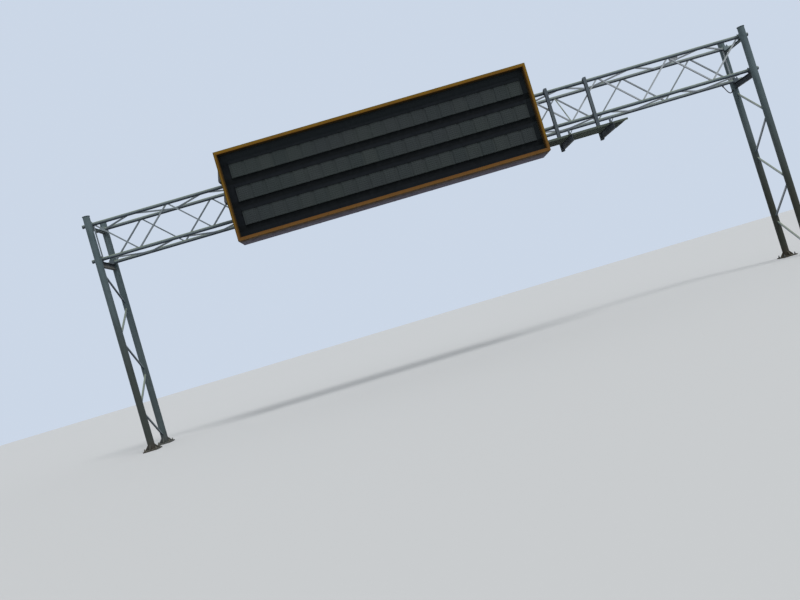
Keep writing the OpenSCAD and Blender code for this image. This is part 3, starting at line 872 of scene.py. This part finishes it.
def gusset_bolts(parts):
    """Two rows of bolts on the plate under the near top chord, on both of its faces."""
    y, z, radius = chord_line("near_top")
    middle = panel_x(GUSSET_POINT) + GUSSET_SHIFT
    columns, column_pitch = 4, 0.08
    drops = (0.025, 0.06)
    for n in range(columns):
        x = middle + (n - (columns - 1) / 2) * column_pitch
        for drop in drops:
            for way in (-1, 1):
                parts.nut((x, y + way * PLATE / 2, z - radius - drop), (0, way, 0), *SMALL_NUT)


def arm_bolts(parts, hangers):
    """Bolts through the end plates of the arms."""
    low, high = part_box("outrigger_arms")
    plate_face = high.y - PLATE
    outer, inner, side = 0.018, 0.075, 0.033
    stud_length, stud_radius = 0.026, 0.008
    for x in hangers[-2:]:
        for across in (-side, side):
            for level in (low.z + outer, low.z + inner, high.z - inner, high.z - outer):
                place = (x + across, plate_face, level)
                parts.nut(place, TO_TRAFFIC, *SMALL_NUT)
                parts.stud(place, TO_TRAFFIC, stud_length, stud_radius)


def deck_grating(parts):
    """Thin bars between the deck's bearing bars, and rods across them."""
    low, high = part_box("walkway_deck")
    bearing_bar, count = 0.008, 29
    half_bar, thin_depth, edge = 0.0025, 0.032, 0.001
    rod, rod_inset, rod_pitch, rod_step = 0.004, 0.02, 0.1, 0.4
    pitch = (high.x - low.x - bearing_bar) / (count - 1)
    for n in range(count - 1):
        x = low.x + bearing_bar / 2 + (n + 0.5) * pitch
        parts.box((x - half_bar, low.y + edge, high.z - thin_depth),
                  (x + half_bar, high.y - edge, high.z))
    for y in spread(low.y + rod_inset, high.y - rod_inset, rod_pitch):
        path = [(x, y, high.z - rod / 2) for x in spread(low.x + edge, high.x - edge, rod_step)]
        parts.tube(path, rod, 6)


def channel_bolts(parts, hangers):
    """Clip bolts along the walkway's front channel and at the feet of the rail posts."""
    low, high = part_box("walkway_channels")
    inset, pitch = 0.1, 0.3
    clip_nut, post_nut = (0.011, 0.008), (0.009, 0.007)
    level = (low.z + high.z) / 2
    for x in spread(low.x + inset, high.x - inset, pitch):
        parts.nut((x, low.y, level), TO_TRAFFIC, *clip_nut)
    post_low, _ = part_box("rail_posts")
    foot, side = 0.022, 0.012
    for x in hangers[-2:]:
        for across in (-side, side):
            parts.nut((x + across, post_low.y, post_low.z + foot), TO_TRAFFIC, *post_nut)


def module_places(name):
    """Left edge, right edge, bottom and top of each module of one row, and its face."""
    low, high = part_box("display_row_" + name)
    pitch = (high.x - low.x) / MODULE_COUNT
    for m in range(MODULE_COUNT):
        left = low.x + m * pitch + MODULE_GAP / 2
        yield left, left + pitch - MODULE_GAP, low.z, high.z, low.y


def lens_grid(parts, name):
    """Five by seven raised lenses on every module of one row."""
    profile = [(-0.001, LENS_RADIUS), (0.003, 0.94 * LENS_RADIUS), (0.006, 0.62 * LENS_RADIUS)]
    for left, right, bottom, top, face in module_places(name):
        for column in range(LENS_COLUMNS):
            x = left + (right - left) * (column + 0.5) / LENS_COLUMNS
            for row in range(LENS_ROWS):
                z = bottom + (top - bottom) * (row + 0.5) / LENS_ROWS
                parts.turned((x, face, z), TO_TRAFFIC, profile, 10)


def module_frames(parts):
    """A raised rim and four screws on every module."""
    rim, proud, sunk = 0.006, 0.004, 0.001
    screw, inset = 0.005, 0.011
    for name in ROWS:
        for left, right, bottom, top, face in module_places(name):
            front, back = face - proud, face + sunk
            parts.box((left, front, bottom), (left + rim, back, top))
            parts.box((right - rim, front, bottom), (right, back, top))
            parts.box((left + rim, front, bottom), (right - rim, back, bottom + rim))
            parts.box((left + rim, front, top - rim), (right - rim, back, top))
            for x in (left + inset, right - inset):
                for z in (bottom + inset, top - inset):
                    parts.rivet((x, face, z), TO_TRAFFIC, screw)


def rivets_round(parts, low, high, inset, pitch, face, radius):
    """Rivets along the four sides of an upright outline, their heads towards the road."""
    for z in (low.z + inset, high.z - inset):
        for x in spread(low.x + inset, high.x - inset, pitch):
            parts.rivet((x, face, z), TO_TRAFFIC, radius)
    for x in (low.x + inset, high.x - inset):
        for z in spread(low.z + inset, high.z - inset, pitch)[1:-1]:
            parts.rivet((x, face, z), TO_TRAFFIC, radius)


def border_trim(parts):
    """A rolled lip round the border's outer edge, sealed mitres, joint covers and rivets."""
    low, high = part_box("face_border")
    face = low.y
    lip, seal = 0.006, 0.003
    outer, inner = [
        [Vector((x, face + lip / 2, z)) for x, z in (
            (low.x + inset, low.z + inset), (high.x - inset, low.z + inset),
            (high.x - inset, high.z - inset), (low.x + inset, high.z - inset))]
        for inset in (lip, BORDER_WIDTH)
    ]
    parts.loop(outer, lip)
    parts.loop(inner, 0.7 * lip)
    for inside, outside in zip(inner, outer):
        parts.tube([inside, outside], seal, 6)
    cover, thick, joint_pitch = 0.05, 0.002, 2.44
    for z in (low.z, high.z - BORDER_WIDTH):
        for x in spread(low.x, high.x, joint_pitch)[1:-1]:
            parts.box((x - cover / 2, face - thick, z + lip),
                      (x + cover / 2, face, z + BORDER_WIDTH - lip))
    inset, pitch = 0.022, 0.31
    rivets_round(parts, low, high, inset, pitch, face - thick, RIVET_RADIUS)


def panel_screws(parts):
    """Screws along the face panel's edges, between the border and the rows."""
    low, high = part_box("face_panel")
    margin, pitch = BORDER_WIDTH + 0.03, 0.4
    rivets_round(parts, low, high, margin, pitch, low.y, SMALL_RIVET)


def clear_of(x, places, margin, shift):
    """The same place, or one beside it where something already stands there."""
    return x + shift if min(abs(x - place) for place in places) < margin else x


def housing_seams(parts, hangers):
    """Cover strips over the joints of the housing's sheets, with rivets beside them."""
    low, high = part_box("housing_back")
    _, border_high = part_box("face_border")
    floor_low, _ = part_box("housing_floor")
    half, thick, sunk, edge = 0.03, 0.003, 0.001, 0.018
    hanger_margin, hanger_shift = 0.12, 0.16
    inset, pitch = 0.05, 0.2
    for place in spread(low.x, high.x, SHEET_WIDTH)[1:-1]:
        x = clear_of(place, hangers, hanger_margin, hanger_shift)
        parts.box((x - half, high.y, low.z), (x + half, high.y + thick, high.z))
        parts.box((x - half, border_high.y, floor_low.z - thick),
                  (x + half, high.y, floor_low.z + sunk))
        for side in (-edge, edge):
            for z in spread(low.z + inset, high.z - inset, pitch):
                parts.rivet((x + side, high.y + thick, z), (0, 1, 0), SMALL_RIVET)
            for y in spread(border_high.y + inset, high.y - inset, pitch):
                parts.rivet((x + side, y, floor_low.z - thick), (0, 0, -1), SMALL_RIVET)


def end_details(parts):
    """Edge rivets on both ends, and riveted flanges on the vent hoods."""
    inset, pitch = 0.03, 0.25
    for end, way in (("left", -1), ("right", 1)):
        low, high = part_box("housing_" + end + "_end")
        face = low.x if way < 0 else high.x
        for z in spread(low.z + inset, high.z - inset, pitch):
            for y in (low.y + inset, high.y - inset):
                parts.rivet((face, y, z), (way, 0, 0), SMALL_RIVET)
    hood_low, hood_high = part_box("vent_hoods")
    hood_height, flange, thick = 0.56, 0.03, 0.003
    hood_inset, hood_pitch = 0.04, 0.12
    for bottom in (hood_low.z, hood_high.z - hood_height):
        for y, way in ((hood_low.y, -1), (hood_high.y, 1)):
            low_y, high_y = sorted((y, y + way * flange))
            parts.box((hood_high.x - thick, low_y, bottom),
                      (hood_high.x, high_y, bottom + hood_height))
            for z in spread(bottom + hood_inset, bottom + hood_height - hood_inset, hood_pitch):
                parts.rivet((hood_high.x - thick, (low_y + high_y) / 2, z), (-1, 0, 0), SMALL_RIVET)


def door_gasket(parts):
    """A round seal between the door and the housing's end."""
    low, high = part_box("access_door")
    hinge, seal = 0.024, 0.006
    parts.loop([(low.x, y, z) for y, z in (
        (low.y, low.z), (high.y - hinge, low.z), (high.y - hinge, high.z), (low.y, high.z))], seal)


def curve_point(pulls, t):
    """A place on a cubic curve between two ends with two pulls."""
    a, b, c, d = pulls
    return ((1 - t) ** 3 * a + 3 * (1 - t) ** 2 * t * b + 3 * (1 - t) * t ** 2 * c + t ** 3 * d)


def conduit_ends():
    """The chord's end of the conduit and its way down, then the post's end and its way up."""
    start_run, start_drop = 0.49, 0.03
    end_drop, end_margin = 0.28, 0.046
    fall, rise = math.radians(58), math.radians(40)
    chord_y, chord_z, _ = chord_line("far_bottom")
    post, post_radius, _ = post_line("right_far")
    start = Vector((post.x - start_run, chord_y, chord_z - start_drop))
    toward = Vector((post.x - start.x, post.y - start.y, 0))
    level = toward.normalized()
    last = start + level * (toward.length - post_radius - end_margin) - UP * end_drop
    down_way = level * math.cos(fall) - UP * math.sin(fall)
    up_way = level * math.cos(rise) + UP * math.sin(rise)
    return start, down_way, last, up_way


def conduit_loop(finishes):
    """The ribbed conduit with a fitting at each end, on the model's own route."""
    tube_radius, rib_depth, rib_pitch = 0.017, 0.002, 0.009
    fitting_radius, fitting_length, seat_gap = 0.023, 0.08, 0.0003
    first_pull, last_pull = 0.23, 0.15
    start, down_way, last, up_way = conduit_ends()
    first = start + down_way * (fitting_length + seat_gap)
    pulls = (first, first + down_way * first_pull, last - up_way * last_pull, last)
    steps = 40
    marks = [curve_point(pulls, n / steps) for n in range(steps + 1)]
    length = sum((after - before).length for before, after in zip(marks, marks[1:]))
    rings = 2 * round(length / rib_pitch)
    path = [curve_point(pulls, n / rings) for n in range(rings + 1)]
    radii = [tube_radius - rib_depth * (n % 2) for n in range(rings + 1)]
    tube = Parts()
    tube.tube(path, radii, 16)
    ribbed = tube.piece("conduit_loop", finishes, "conduit_grey")
    collar = [(0.0, fitting_radius), (0.72 * fitting_length, fitting_radius),
              (0.76 * fitting_length, 0.85 * fitting_radius),
              (fitting_length, 0.82 * fitting_radius)]
    nut_radius, nut_height = 1.25 * fitting_radius, 0.018
    first_nut, last_nut = 0.66 * fitting_length, 0.46 * fitting_length
    ends = Parts()
    ends.turned(start, down_way, collar, 24)
    ends.turned(last + up_way * (fitting_length + seat_gap), -up_way, collar, 24)
    ends.nut(start + down_way * first_nut, down_way, nut_radius, nut_height)
    ends.nut(last + up_way * last_nut, up_way, nut_radius, nut_height)
    fittings = ends.piece("conduit_fittings", finishes, "conduit_grey")
    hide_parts("chord_conduit")
    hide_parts("chord_conduit")


def make_floor():
    """A wide pale floor that lights the undersides as dull ground would."""
    look = Finish("pale_floor", (0.26, 0.26, 0.26, 1), 0.2)
    seen = look.node("ShaderNodeLightPath")
    shown = look.math("MAXIMUM", seen.outputs["Is Camera Ray"], seen.outputs["Is Glossy Ray"])
    shown = look.math("MAXIMUM", shown, seen.outputs["Is Transmission Ray"])
    look.cover(shown, (0.48, 0.485, 0.485, 1))
    bpy.ops.mesh.primitive_circle_add(vertices=96, radius=320, fill_type="NGON")
    floor = bpy.context.object
    floor.name = "floor"
    floor.data.materials.append(look.finish(0.9))


def make_light():
    """A pale sky all round and one broad soft lamp from above."""
    world = bpy.data.worlds.new("studio")
    bpy.context.scene.world = world
    world.use_nodes = True
    tree = world.node_tree
    link = tree.links.new
    seen = tree.nodes.new("ShaderNodeLightPath")
    shown = tree.nodes.new("ShaderNodeMath")
    shown.operation = "MAXIMUM"
    link(seen.outputs["Is Camera Ray"], shown.inputs[0])
    link(seen.outputs["Is Glossy Ray"], shown.inputs[1])
    sky = tree.nodes["Background"]
    sky.inputs["Color"].default_value = (0.94, 0.97, 1.0, 1)
    sky.inputs["Strength"].default_value = 0.85
    backdrop = tree.nodes.new("ShaderNodeBackground")
    backdrop.inputs["Color"].default_value = (0.6, 0.68, 0.8, 1)
    mixer = tree.nodes.new("ShaderNodeMixShader")
    link(shown.outputs["Value"], mixer.inputs[0])
    link(sky.outputs["Background"], mixer.inputs[1])
    link(backdrop.outputs["Background"], mixer.inputs[2])
    link(mixer.outputs["Shader"], tree.nodes["World Output"].inputs["Surface"])
    lamp = bpy.data.lights.new("sun", "SUN")
    lamp.energy = 1.6
    lamp.angle = math.radians(18)
    sun = bpy.data.objects.new("sun", lamp)
    sun.rotation_euler = (math.radians(34), 0, math.radians(34))
    bpy.context.scene.collection.objects.link(sun)


def make_camera():
    """The photograph's viewpoint, turned by yaw and pitch and then rolled."""
    ahead = Vector((math.sin(CAMERA_YAW) * math.cos(CAMERA_PITCH),
                    math.cos(CAMERA_YAW) * math.cos(CAMERA_PITCH),
                    math.sin(CAMERA_PITCH)))
    right = Vector((math.cos(CAMERA_YAW), -math.sin(CAMERA_YAW), 0))
    up = right.cross(ahead)
    rolled_right = right * math.cos(CAMERA_ROLL) - up * math.sin(CAMERA_ROLL)
    rolled_up = right * math.sin(CAMERA_ROLL) + up * math.cos(CAMERA_ROLL)
    data = bpy.data.cameras.new("camera")
    data.lens = LENS
    data.sensor_width = SENSOR_WIDTH
    data.sensor_fit = "HORIZONTAL"
    data.clip_end = 2000
    camera = bpy.data.objects.new("camera", data)
    turn = Matrix((rolled_right, rolled_up, -ahead)).transposed().to_4x4()
    camera.matrix_world = Matrix.Translation(CAMERA_PLACE) @ turn
    bpy.context.scene.collection.objects.link(camera)
    bpy.context.scene.camera = camera


for leftover in list(bpy.data.objects):
    bpy.data.objects.remove(leftover)
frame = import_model()
bpy.context.scene.view_settings.view_transform = "Standard"

finishes = make_finishes()
smooth_nodes(frame, finishes)
hangers = hanger_places(frame)
# Each new piece: its name, its slot, what fills it and what that is given
for name, slot, fill, *given in (
    ("truss_welds", "truss_steel", truss_welds),
    ("tower_welds", "post_steel", tower_welds),
    ("cap_welds", "truss_steel", cap_welds),
    ("anchor_bolts", "beam_steel", anchor_bolts),
    ("saddle_bolts", "beam_steel", saddle_bolts),
    ("chord_u_bolts", "beam_steel", chord_u_bolts, hangers),
    ("gusset_bolts", "truss_steel", gusset_bolts),
    ("arm_bolts", "beam_steel", arm_bolts, hangers),
    ("deck_grating", "beam_steel", deck_grating),
    ("channel_bolts", "beam_steel", channel_bolts, hangers),
    *(("lenses_" + row, "module_grey", lens_grid, row) for row in ROWS),
    ("module_frames", "module_grey", module_frames),
    ("border_trim", "border_paint", border_trim),
    ("panel_screws", "face_black", panel_screws),
    ("housing_seams", "housing_sheet", housing_seams, hangers),
    ("end_details", "housing_sheet", end_details),
    ("door_gasket", "conduit_grey", door_gasket),
):
    parts = Parts()
    fill(parts, *given)
    parts.piece(name, finishes, slot)
conduit_loop(finishes)
make_floor()
make_light()
make_camera()
